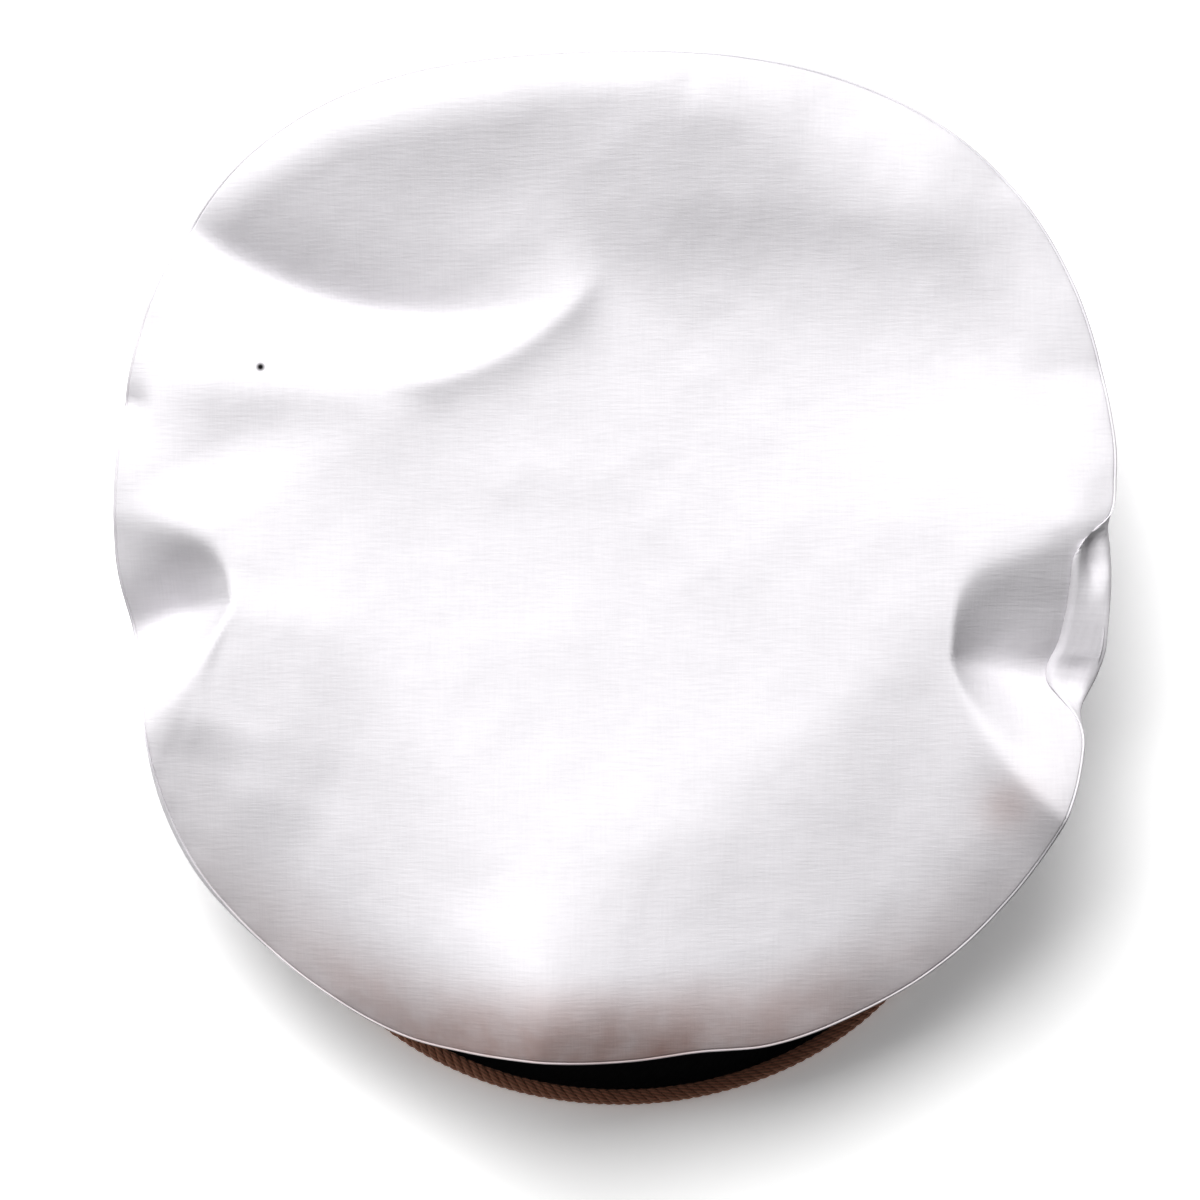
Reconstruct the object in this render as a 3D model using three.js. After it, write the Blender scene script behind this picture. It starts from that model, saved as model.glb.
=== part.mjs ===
// A soft white sailor hat with a peak, lying on a table as it rests by itself.
// Millimetres, +Z up, the peak towards -Y. Each sewn piece is a closed solid of its own.
import * as THREE from "three";

// Driving dimensions of the crown, seen from above round the crown's own axis.
const rimRadius = 136.5;
const rimSquareness = 4.6; // how far the round rim is pushed out towards its four corners
const backCornerSwell = 2.6; // the two back corners stand out further than the front ones
const clothWall = 1.5;
const seamGap = 0.35; // clear space between two pieces that are sewn to each other

// Driving dimensions of the head band, an upright oval that lies flat on the table behind the peak.
const bandOffset = 1.7; // the band sits this far to the right of the crown's axis
const bandHalfWidth = 87;
const bandHalfLength = 98.5;
const bandWall = 1.8;
const bandHeight = { back: 34, front: 29 };
const bandLift = 18; // the peak props up the front of the band
const bandLiftStart = 5; // the lower edge begins to rise this far in front of the crown's axis

// Driving dimensions of the peak and of the twisted cord along its edge.
const peakReach = 148; // from the crown's axis to the front of the cord
const peakHalfWidth = 95;
const peakHalfLength = 78.5; // the outer edge is an oval with these two half sizes
const peakWall = 2.4;
const peakCamber = 2.2; // how far the middle of the peak arches above a straight slope
const peakTurn = 112; // degrees of the outer oval on each side of its front
const bandTurn = 66; // degrees of the band that the peak is sewn to on each side of its front
const cordDiameter = 5;
const cordTurn = 115.5; // the cord runs on past the end of the peak, up to the band

// Numbers of facets.
const turnSteps = 84;
const crownRings = 18;
const sideSteps = 8;
const bandSteps = 1;
const peakSteps = 36;
const peakRows = 5;
const cordSides = 8;
const cordSteps = 46;

// Heights of the crown's top above the table, on sections across the hat from the front to the back.
// left and right are taken sectionReach to either side of the middle.
const sectionReach = 125;
const topSections = [
  { y: -140, left: 39, middle: 50.5, right: 34 },
  { y: -115, left: 46, middle: 51.5, right: 40 },
  { y: -80, left: 52.5, middle: 50.5, right: 47 },
  { y: -40, left: 57.5, middle: 49.5, right: 56 },
  { y: 10, left: 58.5, middle: 51.5, right: 71 },
  { y: 50, left: 58, middle: 54.5, right: 66.5 },
  { y: 75, left: 61.5, middle: 58, right: 69.5 },
  { y: 95, left: 67, middle: 65.5, right: 73.5 },
  { y: 115, left: 73, middle: 76.5, right: 77 },
  { y: 135, left: 78, middle: 88, right: 79 },
];

// How the top rolls down to the rim seam, from the front round the right side and the back.
const rimRolls = [
  { degrees: -99, depth: 7, width: 24 },
  { degrees: -80, depth: 6.5, width: 26 },
  { degrees: -62, depth: 7, width: 32 },
  { degrees: -42, depth: 5, width: 30 },
  { degrees: -25, depth: 1.5, width: 14 },
  { degrees: -8, depth: 2, width: 14 },
  { degrees: 20, depth: 3, width: 12 },
  { degrees: 38, depth: 5, width: 15 },
  { degrees: 50, depth: 10, width: 24 },
  { degrees: 62, depth: 12, width: 27 },
  { degrees: 73, depth: 9, width: 22 },
  { degrees: 81, depth: 5, width: 13 },
  { degrees: 92, depth: 6.5, width: 14 },
  { degrees: 110, depth: 8.5, width: 18 },
  { degrees: 125, depth: 7, width: 15 },
  { degrees: 135, depth: 4, width: 11 },
  { degrees: 143, depth: 1, width: 9 },
  { degrees: 160, depth: 2, width: 10 },
  { degrees: 190, depth: 4, width: 14 },
  { degrees: 212, depth: 11, width: 38 },
  { degrees: 230, depth: 13, width: 42 },
  { degrees: 247, depth: 11, width: 36 },
  { degrees: 261, depth: 7.5, width: 24 },
];
const rollPower = 2.3;

// How far the rim seam is drawn in, round the hat from the front by the right side and the back, and
// where the side panel heads from it at first: how far out and how far up.
const rimSeam = [
  { degrees: -96, pull: 0, bulge: 3, rise: -16 },
  { degrees: -88, pull: 0.5, bulge: 3, rise: -16 },
  { degrees: -80, pull: 2, bulge: 4, rise: -16 },
  { degrees: -72, pull: 0.4, bulge: 3, rise: -16 },
  { degrees: -60, pull: 0, bulge: 3, rise: -15 },
  { degrees: -42, pull: 0.5, bulge: 3, rise: -14 },
  { degrees: -30, pull: 3.4, bulge: 3, rise: -13 },
  { degrees: -22, pull: 4.4, bulge: 3, rise: -12 },
  { degrees: -19.5, pull: 5, bulge: 5, rise: -10 },
  { degrees: -17.8, pull: 7.5, bulge: 12, rise: 0 },
  { degrees: -16.2, pull: 12, bulge: 26, rise: 12 },
  { degrees: -14.5, pull: 16, bulge: 37, rise: 18 },
  { degrees: -10, pull: 13.8, bulge: 36, rise: 16 },
  { degrees: -6, pull: 12.9, bulge: 33, rise: 11 },
  { degrees: -2, pull: 12.6, bulge: 32, rise: 3 },
  { degrees: 1, pull: 12.3, bulge: 31, rise: -5 },
  { degrees: 3.5, pull: 9, bulge: 23, rise: -9 },
  { degrees: 6, pull: 3, bulge: 8, rise: -8 },
  { degrees: 10, pull: 1, bulge: 3, rise: -12 },
  { degrees: 90, pull: 0, bulge: 3, rise: -10 },
  { degrees: 178, pull: 0.4, bulge: 3, rise: -12 },
  { degrees: 188, pull: 3.2, bulge: 5, rise: -12 },
  { degrees: 196, pull: 4.6, bulge: 6, rise: -12 },
  { degrees: 205, pull: 2.6, bulge: 4, rise: -13 },
  { degrees: 215, pull: 0, bulge: 3, rise: -14 },
  { degrees: 232, pull: 0.8, bulge: 3, rise: -15 },
  { degrees: 245, pull: 1.8, bulge: 3, rise: -16 },
  { degrees: 256, pull: 0.8, bulge: 3, rise: -16 },
  { degrees: 264, pull: 0, bulge: 3, rise: -16 },
];

// Dents that open to the rim. The bottom of a dent runs outwards from inner to mouth along x, and its y
// goes from the first to the second number of bottom. Behind the bottom is a steep wall and in front of
// it a gentler facet. The depth and both widths are those at the mouth and grow from the inner end by
// their powers: a power near 0 makes the inner end blunt. shallower makes the dent rise again towards
// its mouth. profile holds shares of the depth across the dent: at 1 ends the wall, at -1 the facet.
const dents = [
  {
    inner: 87,
    mouth: 121,
    bottom: [-27, -28],
    wall: 36,
    facet: 32,
    depth: 42,
    shallower: 0.7,
    powers: { depth: 0.35, wall: 0.3, facet: 0.55 },
    profile: [
      { at: -2, share: 0 },
      { at: -1.4, share: 0 },
      { at: -1, share: 0.06 },
      { at: -0.75, share: 0.24 },
      { at: -0.4, share: 0.6 },
      { at: -0.1, share: 0.94 },
      { at: 0, share: 0.98 },
      { at: 0.12, share: 0.93 },
      { at: 0.5, share: 0.5 },
      { at: 0.85, share: 0.1 },
      { at: 1.05, share: 0.02 },
      { at: 1.3, share: 0 },
      { at: 1.6, share: 0 },
    ],
  },
  {
    inner: -100,
    mouth: -127,
    bottom: [-9, -16],
    wall: 31,
    facet: 31,
    depth: 35,
    shallower: 0,
    powers: { depth: 0.45, wall: 0.5, facet: 0.5 },
    profile: [
      { at: -3, share: 0 },
      { at: -2.2, share: 0 },
      { at: -1.6, share: -0.015 },
      { at: -1.25, share: -0.05 },
      { at: -1, share: -0.06 },
      { at: -0.85, share: 0.03 },
      { at: -0.1, share: 0.95 },
      { at: 0, share: 0.99 },
      { at: 0.1, share: 0.95 },
      { at: 0.55, share: 0.5 },
      { at: 0.9, share: 0.13 },
      { at: 1.1, share: 0.03 },
      { at: 1.4, share: 0 },
      { at: 1.7, share: 0 },
    ],
  },
];
const dentTip = 0.15; // how far along a dent its inner end is rounded

// Folds of the top: a line from one point to another that goes sideways by bow in its middle.
// A ridge has a positive lift and a valley a negative one. left and right are the widths of its
// two slopes, seen along the line, soft rounds its bottom or crest, and rise and fall are the
// lengths over which it grows and dies away, where 0 keeps its full height up to the rim.
const topFolds = [
  // the hollow that runs in from the back left corner
  { from: [-120, 95], to: [-4, 72], bow: -16, lift: -11, left: 11, right: 10, soft: 3, rise: 0, fall: 60 },
  // the crease that closes that hollow towards the middle
  { from: [-66, 47], to: [-1, 80], bow: -9, lift: 4.2, left: 16, right: 6, soft: 2.5, rise: 20, fall: 16 },
  // the swell beside it, towards the left rim
  { from: [-118, 50], to: [-32, 51], bow: -4, lift: 6.5, left: 14, right: 9, soft: 7, rise: 25, fall: 40 },
  // a low swell in the middle of the back slope
  { from: [-48, 70], to: [22, 126], bow: 0, lift: 1, left: 10, right: 10, soft: 6, rise: 20, fall: 20 },
  // the two long ridges that run in from the left and right rims and meet in front of the middle
  { from: [-128, 20], to: [-12, -150], bow: 27, lift: 7.5, left: 27, right: 40, soft: 8, rise: 22, fall: 8 },
  { from: [140, 9], to: [-56, -131], bow: -5, lift: 10.5, left: 66, right: 31, soft: 15, rise: 20, fall: 60 },
  // the swell in front of the left dent
  { from: [-126, -42], to: [-74, -66], bow: 0, lift: 4, left: 25, right: 16, soft: 9, rise: 10, fall: 25 },
  // the ridge that bounds the right dent in front
  { from: [88, -23], to: [125, -73], bow: -4, lift: 9, left: 80, right: 14, soft: 1.5, rise: 14, fall: 6 },
  // the bank behind the middle on the right
  { from: [-20, 97], to: [108, 88], bow: 4, lift: 5, left: 40, right: 17, soft: 10, rise: 40, fall: 30 },
  // the nose where the two ridges have met, down to the front
  { from: [-21, -80], to: [-21, -160], bow: 0, lift: 8, left: 20, right: 20, soft: 14, rise: 44, fall: 8 },
];

// Where the side panel's curve comes in over the band: so far outside it and so far above it, and how
// much further out and how much lower for each millimetre that the panel bulges.
const neckOut = 5;
const neckUp = 8.6;
const neckSpread = 0.2;
const neckSag = 0.2;
const neckClear = 1.5; // the curve's control point stays at least this far below the top panel

const degrees = THREE.MathUtils.degToRad;

function smoothStep(share) {
  return THREE.MathUtils.smoothstep(share, 0, 1);
}

// One smooth cubic through a column of rows that are sorted by the column key.
function smoothThrough(rows, key, column, place) {
  const last = rows.length - 1;
  const at = THREE.MathUtils.clamp(place, rows[0][key], rows[last][key]);
  const slope = (i) => {
    const before = rows[Math.max(i - 1, 0)];
    const after = rows[Math.min(i + 1, last)];
    return (after[column] - before[column]) / (after[key] - before[key]);
  };
  let i = 0;
  while (i < last - 1 && at >= rows[i + 1][key]) i += 1;
  const span = rows[i + 1][key] - rows[i][key];
  const t = (at - rows[i][key]) / span;
  const start = rows[i][column] * (2 * t ** 3 - 3 * t ** 2 + 1);
  const end = rows[i + 1][column] * (3 * t ** 2 - 2 * t ** 3);
  const leave = slope(i) * span * (t ** 3 - 2 * t ** 2 + t);
  const arrive = slope(i + 1) * span * (t ** 3 - t ** 2);
  return start + end + leave + arrive;
}

// A column of a table that goes once round the hat by degrees.
function aroundRim(rows, column, angle) {
  const first = rows[0].degrees;
  const turned = THREE.MathUtils.euclideanModulo(THREE.MathUtils.radToDeg(angle) - first, 360) + first;
  return smoothThrough(rows, "degrees", column, turned);
}

function rimDistance(angle) {
  const corner = (1 - Math.cos(4 * angle)) / 2;
  const round = rimRadius + rimSquareness * (2 * corner - 1);
  return round + backCornerSwell * Math.sin(angle) * corner - aroundRim(rimSeam, "pull", angle);
}

// How far a dent sinks the top over a point.
function dentDepth(dent, x, y) {
  const out = (x - dent.inner) / (dent.mouth - dent.inner);
  if (out <= 0) return 0;
  const off = y - dent.bottom[0] - (dent.bottom[1] - dent.bottom[0]) * out;
  const wall = dent.wall * out ** dent.powers.wall;
  const facet = dent.facet * out ** dent.powers.facet;
  const share = smoothThrough(dent.profile, "at", "share", off / (off > 0 ? wall : facet));
  const grown = out * (out + dentTip) ** (dent.powers.depth - 1);
  return dent.depth * grown * (1 - dent.shallower * out) * share;
}

function foldHeight(fold, x, y) {
  const [x0, y0] = fold.from;
  const run = [fold.to[0] - x0, fold.to[1] - y0];
  const length = Math.hypot(...run);
  const along = ((x - x0) * run[0] + (y - y0) * run[1]) / length;
  const across = ((y - y0) * run[0] - (x - x0) * run[1]) / length;
  const share = THREE.MathUtils.clamp(along / length, 0, 1);
  const off = across - fold.bow * 4 * share * (1 - share);
  const width = off > 0 ? fold.left : fold.right;
  const profile = Math.exp(-(Math.hypot(off, fold.soft) - fold.soft) / width);
  const start = fold.rise ? smoothStep(along / fold.rise) : 1;
  return fold.lift * profile * start * smoothStep((length - along) / fold.fall);
}

// Height of the crown's upper face over a point.
function topHeight(x, y) {
  const left = smoothThrough(topSections, "y", "left", y);
  const middle = smoothThrough(topSections, "y", "middle", y);
  const right = smoothThrough(topSections, "y", "right", y);
  const share = x / sectionReach;
  let height = middle + ((right - left) / 2) * share + ((left + right) / 2 - middle) * share ** 2;
  const angle = Math.atan2(y, x);
  const inside = rimDistance(angle) - Math.hypot(x, y);
  const roll = THREE.MathUtils.clamp(1 - inside / aroundRim(rimRolls, "width", angle), 0, 1);
  height -= aroundRim(rimRolls, "depth", angle) * roll ** rollPower;
  for (const dent of dents) height -= dentDepth(dent, x, y);
  for (const fold of topFolds) height += foldHeight(fold, x, y);
  return height;
}

// Height of the crown's lower face over a point: the wall keeps its thickness on a slope.
function undersideHeight(x, y) {
  const step = 0.5;
  const slopeX = (topHeight(x + step, y) - topHeight(x - step, y)) / (2 * step);
  const slopeY = (topHeight(x, y + step) - topHeight(x, y - step)) / (2 * step);
  return topHeight(x, y) - clothWall * Math.min(2, Math.hypot(1, slopeX, slopeY));
}

// A solid through closed loops of equally many points. The row of loops closes on itself or is capped.
function loft(loops, closesOnItself) {
  const count = loops[0].length;
  const points = loops.flat();
  const faces = [];
  // Each quad is cut along its shorter diagonal, so that both faces of a thin wall are cut alike.
  const quad = (a, b, c, d) => {
    const cutsFromA = points[a].distanceTo(points[c]) <= points[b].distanceTo(points[d]);
    faces.push(...(cutsFromA ? [[a, b, c], [a, c, d]] : [[a, b, d], [b, c, d]]));
  };
  const joins = closesOnItself ? loops.length : loops.length - 1;
  for (let i = 0; i < joins; i += 1) {
    const here = i * count;
    const next = ((i + 1) % loops.length) * count;
    for (let j = 0; j < count; j += 1) {
      const k = (j + 1) % count;
      quad(here + j, here + k, next + k, next + j);
    }
  }
  const cap = (loop, first, turned) => {
    const middle = new THREE.Vector3();
    for (const point of loop) middle.addScaledVector(point, 1 / count);
    points.push(middle);
    for (let j = 0; j < count; j += 1) {
      const edge = [first + j, first + ((j + 1) % count)];
      faces.push([points.length - 1, ...(turned ? edge.reverse() : edge)]);
    }
  };
  if (!closesOnItself) {
    cap(loops[0], 0, true);
    cap(loops.at(-1), (loops.length - 1) * count, false);
  }
  return facingOut(points, faces);
}

// A geometry of the triangles, all turned round if they enclose a negative volume.
function facingOut(points, faces) {
  let volume = 0;
  for (const [a, b, c] of faces) {
    volume += points[a].dot(new THREE.Vector3().crossVectors(points[b], points[c]));
  }
  const turned = volume < 0 ? faces.map(([a, b, c]) => [a, c, b]) : faces;
  const geometry = new THREE.BufferGeometry().setFromPoints(points);
  geometry.setIndex(turned.flat());
  geometry.computeVertexNormals();
  return geometry;
}

function turnAngles() {
  return Array.from({ length: turnSteps }, (_, i) => (2 * Math.PI * i) / turnSteps);
}

// The round top panel: rings from the middle of its upper face over the rim to the middle of its lower face.
function crownTop() {
  const shares = Array.from({ length: crownRings }, (_, i) => ((i + 1) / crownRings) ** 0.8);
  const ring = (share, height) =>
    turnAngles().map((angle) => {
      const x = share * rimDistance(angle) * Math.cos(angle);
      const y = share * rimDistance(angle) * Math.sin(angle);
      return new THREE.Vector3(x, y, height(x, y));
    });
  const upper = shares.map((share) => ring(share, topHeight));
  const lower = shares.map((share) => ring(share, undersideHeight)).reverse();
  return loft([...upper, ...lower], false);
}

// A point of the band's oval, drawn in from its outer face.
function bandPoint(angle, inset = 0) {
  const x = bandOffset + (bandHalfWidth - inset) * Math.cos(angle);
  return new THREE.Vector2(x, (bandHalfLength - inset) * Math.sin(angle));
}

// How far round to the front an angle lies: 0 on the flat back part and 1 at the middle of the peak.
function frontShare(angle) {
  const forward = -bandHalfLength * Math.sin(angle) - bandLiftStart;
  return smoothStep(forward / (bandHalfLength - bandLiftStart));
}

function bandBottom(angle) {
  return bandLift * frontShare(angle);
}

function bandTop(angle) {
  return bandBottom(angle) + THREE.MathUtils.lerp(bandHeight.back, bandHeight.front, frontShare(angle));
}

// The side panel: in each section a cubic from the rim seam down to the top of the band.
function crownSide() {
  const section = (angle) => {
    const rim = new THREE.Vector2(Math.cos(angle), Math.sin(angle)).multiplyScalar(rimDistance(angle));
    const foot = bandPoint(angle, bandWall / 2 - clothWall / 2);
    const reach = rim.distanceTo(foot);
    const outward = rim.clone().sub(foot).divideScalar(reach);
    const seam = undersideHeight(rim.x, rim.y) - seamGap;
    const neck = bandTop(angle) + seamGap;
    const bulge = aroundRim(rimSeam, "bulge", angle);
    const neckReach = neckOut + neckSpread * bulge;
    const over = foot.clone().addScaledVector(outward, neckReach);
    const roof = undersideHeight(over.x, over.y) - neckClear;
    const rise = aroundRim(rimSeam, "rise", angle);
    const curve = new THREE.CubicBezierCurve(
      new THREE.Vector2(reach, seam),
      new THREE.Vector2(reach + bulge, seam + rise),
      new THREE.Vector2(neckReach, Math.min(neck + neckUp - neckSag * bulge, roof)),
      new THREE.Vector2(0, neck),
    );
    const place = (share, inset) => {
      const point = curve.getPoint(share);
      const tangent = share === 1 ? new THREE.Vector2(0, -1) : curve.getTangent(share);
      const flat = foot.clone().addScaledVector(outward, point.x + inset * tangent.y);
      return new THREE.Vector3(flat.x, flat.y, point.y - inset * tangent.x);
    };
    const shares = Array.from({ length: sideSteps + 1 }, (_, i) => i / sideSteps);
    const outer = shares.map((share) => place(share, 0));
    const inner = shares.map((share) => place(share, clothWall)).reverse();
    return [...outer, ...inner];
  };
  return loft(turnAngles().map(section), true);
}

function headBand() {
  const section = (angle) => {
    const wall = (inset) =>
      Array.from({ length: bandSteps + 1 }, (_, i) => {
        const point = bandPoint(angle, inset);
        const height = THREE.MathUtils.lerp(bandBottom(angle), bandTop(angle), i / bandSteps);
        return new THREE.Vector3(point.x, point.y, height);
      });
    return [...wall(0), ...wall(bandWall).reverse()];
  };
  return loft(turnAngles().map(section), true);
}

// A point of the oval round the peak, drawn in from the outside of the cord. 0 degrees is its front.
function peakPoint(turn, inset) {
  const x = bandOffset + (peakHalfWidth - inset) * Math.sin(turn);
  const y = peakHalfLength - peakReach - (peakHalfLength - inset) * Math.cos(turn);
  return new THREE.Vector2(x, y);
}

// The peak: a stiff curved sheet from under the front of the band down to the cord on the table.
function peak() {
  const section = (share) => {
    const bandAngle = degrees(-90 + share * bandTurn);
    const inner = bandPoint(bandAngle, bandWall);
    const outer = peakPoint(degrees(share * peakTurn), cordDiameter + seamGap);
    const high = bandBottom(bandAngle) - seamGap;
    const low = cordDiameter / 2 + peakWall / 2;
    const camber = peakCamber * (1 - share ** 2);
    const row = (drop) =>
      Array.from({ length: peakRows + 1 }, (_, i) => {
        const across = i / peakRows;
        const flat = inner.clone().lerp(outer, across);
        const arch = camber * Math.sin(Math.PI * across) * across;
        return new THREE.Vector3(flat.x, flat.y, THREE.MathUtils.lerp(high, low, across) + arch - drop);
      });
    return [...row(0), ...row(peakWall).reverse()];
  };
  const shares = Array.from({ length: peakSteps + 1 }, (_, i) => (2 * i) / peakSteps - 1);
  return loft(shares.map(section), false);
}

// The line of the cord: along the edge of the peak, lying on the table.
class CordLine extends THREE.Curve {
  getPoint(share, target = new THREE.Vector3()) {
    const flat = peakPoint(degrees((2 * share - 1) * cordTurn), cordDiameter / 2);
    return target.set(flat.x, flat.y, cordDiameter / 2);
  }
}

// The cord's outer form, with one of its flat sides on the table.
function peakCord() {
  const corner = cordDiameter / 2 / Math.cos(Math.PI / cordSides);
  const outline = Array.from({ length: cordSides }, (_, i) => {
    const angle = ((2 * i + 1) * Math.PI) / cordSides;
    return new THREE.Vector2(corner * Math.cos(angle), corner * Math.sin(angle));
  });
  return new THREE.ExtrudeGeometry(new THREE.Shape(outline), {
    steps: cordSteps,
    extrudePath: new CordLine(),
  });
}

const whiteCotton = new THREE.MeshStandardMaterial({ color: "#f3f1f2", roughness: 0.9 });
const blackCloth = new THREE.MeshStandardMaterial({ color: "#0c0c0e", roughness: 0.8 });
const blackPeak = new THREE.MeshStandardMaterial({ color: "#070708", roughness: 0.45 });
const brownCord = new THREE.MeshStandardMaterial({ color: "#8a6450", roughness: 0.75 });

const pieces = {
  crown_top: [crownTop(), whiteCotton],
  crown_side: [crownSide(), whiteCotton],
  head_band: [headBand(), blackCloth],
  peak: [peak(), blackPeak],
  peak_cord: [peakCord(), brownCord],
};

const sewn = new THREE.Group();
for (const [name, [geometry, material]] of Object.entries(pieces)) {
  const mesh = new THREE.Mesh(geometry, material);
  mesh.name = name;
  sewn.add(mesh);
}

// The origin is on the table, under the middle of the whole hat.
const extent = new THREE.Box3().setFromObject(sewn, true);
const middle = extent.getCenter(new THREE.Vector3());
sewn.position.set(-middle.x, -middle.y, -extent.min.z);

const hat = new THREE.Group();
hat.add(sewn);

export default hat;
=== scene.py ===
"""A soft white sailor hat with a black peak, lying on a pale floor and seen from straight above."""

import math
from collections import namedtuple

import bpy
import numpy as np
from bpy.props import FloatProperty, FloatVectorProperty, IntProperty, PointerProperty
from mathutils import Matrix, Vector


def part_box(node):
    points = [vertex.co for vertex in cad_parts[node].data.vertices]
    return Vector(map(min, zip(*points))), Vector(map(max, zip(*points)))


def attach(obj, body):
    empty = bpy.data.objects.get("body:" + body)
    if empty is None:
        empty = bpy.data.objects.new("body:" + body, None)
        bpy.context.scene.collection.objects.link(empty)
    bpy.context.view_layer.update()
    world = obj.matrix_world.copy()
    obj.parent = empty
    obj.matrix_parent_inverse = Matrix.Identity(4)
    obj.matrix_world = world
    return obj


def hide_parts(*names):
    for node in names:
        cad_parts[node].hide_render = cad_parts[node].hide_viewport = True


bl_info = {
    "name": "Sailor hat",
    "version": (1, 0, 0),
    "blender": (4, 5, 0),
    "location": "3D View > Sidebar > Hat",
    "description": "Dresses the solids of a soft sailor hat in cotton, cloth and twisted cord",
    "category": "Object",
}

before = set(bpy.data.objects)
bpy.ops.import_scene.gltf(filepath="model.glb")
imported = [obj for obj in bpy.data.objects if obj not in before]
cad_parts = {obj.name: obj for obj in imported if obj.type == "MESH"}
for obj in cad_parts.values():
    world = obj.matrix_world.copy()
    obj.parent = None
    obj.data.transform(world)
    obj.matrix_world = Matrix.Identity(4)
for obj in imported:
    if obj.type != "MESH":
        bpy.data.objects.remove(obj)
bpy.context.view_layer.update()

MM = 0.001
BODY = "root"


def metres(kind, rows, unscaled=()):
    """Named rows of a table that is written in millimetres, in metres but for the unscaled columns."""
    return [
        kind(*(value if name in unscaled else value * MM for name, value in zip(kind._fields, row)))
        for row in rows
    ]


# Heights of the crown's top above the table, on sections across the hat from the front to the back.
Section = namedtuple("Section", "y left middle right")
SECTION_REACH = 125 * MM
TOP_SECTIONS = metres(Section, [
    (-140, 39, 50.5, 29),
    (-115, 46, 51.5, 36),
    (-80, 52.5, 50.5, 45),
    (-40, 57.5, 49.5, 56),
    (10, 58.5, 51.5, 71),
    (50, 58, 54.5, 66.5),
    (75, 61.5, 58, 69.5),
    (95, 67, 65.5, 73.5),
    (115, 73, 76.5, 77),
    (135, 78, 88, 79),
])

# How the top rolls down to the rim seam, from the front round the right side and the back.
Roll = namedtuple("Roll", "degrees depth width")
RIM_ROLLS = metres(Roll, [
    (-99, 5.8, 24),
    (-80, 5.6, 26),
    (-62, 5.5, 30),
    (-42, 2.5, 24),
    (-25, 1.5, 14),
    (-8, 2, 14),
    (20, 3.5, 16),
    (38, 7, 23),
    (50, 12, 31),
    (62, 14, 33),
    (73, 9.5, 24),
    (81, 5, 13),
    (92, 6.5, 14),
    (110, 8.5, 18),
    (125, 7, 15),
    (135, 4, 11),
    (143, 1, 9),
    (160, 2, 10),
    (190, 4, 14),
    (212, 8.5, 34),
    (230, 12, 40),
    (247, 13, 38),
    (261, 5.8, 24),
], unscaled=("degrees",))
ROLL_POWER = 2.3

# How far the rim seam is drawn in round the hat, and where the side panel goes from it: how far out and
# how far up it heads at first.
Seam = namedtuple("Seam", "degrees pull bulge rise")
RIM_SEAM = metres(Seam, [
    (-96, 1.8, 1, -16),
    (-88, 2.2, 1, -16),
    (-80, 3, 1, -16),
    (-72, 1.3, 1, -16),
    (-60, 2.1, 1, -15),
    (-42, 3, 1, -14),
    (-30, 3.6, 1, -13),
    (-22, 4.4, 1, -12),
    (-20, 5, 3, -10),
    (-18.2, 7, 9, -7),
    (-16.6, 11, 21, -1),
    (-15, 14.8, 32, 7),
    (-13, 15.6, 36, 17),
    (-10, 13.8, 35, 22),
    (-6, 12.9, 33, 19),
    (-2, 12.6, 32, 9),
    (1, 12.3, 31, -2),
    (3.5, 9, 23, -9),
    (6, 3, 6, -8),
    (10, 1, 1, -12),
    (15, 0, 1, -12),
    (90, 0, 1, -10),
    (178, 0.4, 1, -12),
    (188, 3.2, 3, -12),
    (196, 4.6, 4, -12),
    (205, 3.6, 10, -13),
    (215, 2.4, 12, -14),
    (226, 2.4, 9, -15),
    (236, 1.2, 4, -15),
    (242, -0.2, 1, -16),
    (247, -0.8, 1, -16),
    (253, 0.3, 1, -16),
    (259, 1.4, 1, -16),
    (264, 1.8, 1, -16),
], unscaled=("degrees",))

# Shares of a pocket's depth across its valley: place 1 is the top of the wall, -1 the top of the facet.
Across = namedtuple("Across", "place share")
RIGHT_ACROSS = [Across(*row) for row in (
    (-2, 0), (-1.4, 0), (-1, 0.06), (-0.75, 0.24), (-0.4, 0.6), (-0.1, 0.94), (0, 0.98), (0.12, 0.93),
    (0.5, 0.53), (0.88, 0.1), (1.05, 0.02), (1.3, 0), (1.6, 0),
)]
LEFT_ACROSS = [Across(*row) for row in (
    (-3, 0), (-2.2, 0), (-1.6, -0.015), (-1.25, -0.05), (-1, -0.06), (-0.85, 0.03), (-0.1, 0.95),
    (0, 0.99), (0.1, 0.95), (0.55, 0.5), (0.9, 0.13), (1.1, 0.03), (1.4, 0), (1.7, 0),
)]

# Pockets that open to the rim. A valley runs outwards from the inner end to the mouth, with a wall
# towards the back and a facet towards the front, whose widths are those at the mouth. The depth and the
# two widths grow from the inner end by these powers, and shallower lets the depth lessen again towards
# the mouth. Over the share POCKET_TIP of its length a pocket deepens evenly, before it follows its power.
# POCKET_START keeps the shares above 0 for the powers.
Powers = namedtuple("Powers", "depth wall facet")
Pocket = namedtuple("Pocket", "inner mouth valley_in valley_out wall facet depth shallower powers across")
POCKETS = metres(Pocket, [
    (88, 121, -24, -30, 38, 32, 29.5, 0, Powers(0.05, 0.25, 0.55), RIGHT_ACROSS),
    (-100, -127, -9, -16, 31, 32, 46, 0.25, Powers(0.05, 0.45, 0.7), LEFT_ACROSS),
], unscaled=("shallower", "powers", "across"))
POCKET_TIP = 0.35
POCKET_START = 1e-6

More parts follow.
